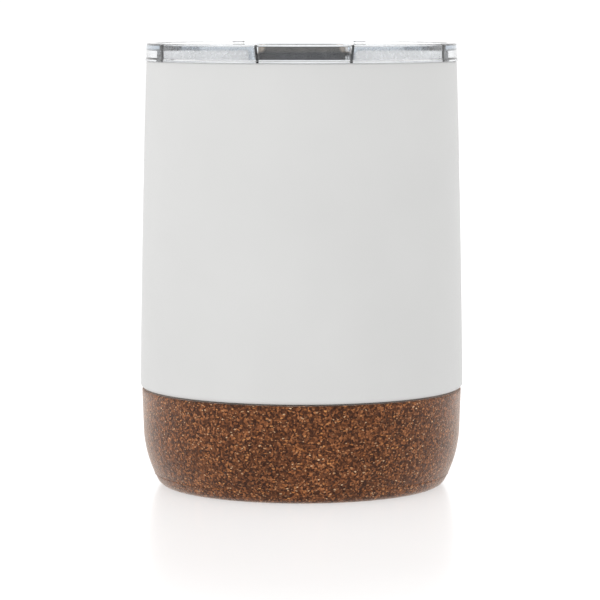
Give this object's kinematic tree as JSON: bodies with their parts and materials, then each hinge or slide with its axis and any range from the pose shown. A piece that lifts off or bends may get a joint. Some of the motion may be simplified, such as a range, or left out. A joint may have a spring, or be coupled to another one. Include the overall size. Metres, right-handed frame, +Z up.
{
  "type": "insulated travel mug",
  "caption": "Straight double-wall steel travel mug with a cork base and a clear push-in lid that has a sliding drink opening.",
  "frame": {"origin": "centre of the base, on the surface that the mug stands on", "axes": "+Z up along the mug's axis; -Y towards the sipping side of the lid; +X to the right seen from the sipping side"},
  "size_m": [0.08, 0.08, 0.1094],
  "materials": {
    "cork": "dark cork granulate, pressed and sealed, matte",
    "adhesive": "cured glue",
    "shell_paint": "satin powder coat",
    "steel": "fine satin",
    "solder_glass": "dull",
    "getter_metal": "sintered",
    "clear_plastic": "clear, polished",
    "silicone": "translucent, soft",
    "dark_silicone": "dark grey, soft",
    "smoke_plastic": "dark smoke, polished"
  },
  "bodies": {
    "mug": {"outer_shell": "shell_paint", "inner_liner": "steel", "shell_bottom": "steel", "vacuum_seal_plug": "solder_glass", "getter": "getter_metal", "base_adhesive": "adhesive", "cork_base": "cork"},
    "gasket": {"lid_gasket": "silicone"},
    "lid": {"lid_cap": "clear_plastic", "lid_plug": "clear_plastic"},
    "slider": {"lid_slider": "smoke_plastic", "slider_seal": "dark_silicone"}
  },
  "joints": [
    {"name": "lid_lift", "type": "slide", "parent": "mug", "child": "gasket", "axis": [0, 0, 1], "range_m": [0, 0.04]},
    {"name": "lid_turn", "type": "hinge", "parent": "gasket", "child": "lid", "pos_m": [0, 0, 0.1], "axis": [0, 0, 1], "continuous": true},
    {"name": "slider_slide", "type": "slide", "parent": "lid", "child": "slider", "axis": [0, 1, 0], "range_m": [0, 0.0155]}
  ]
}
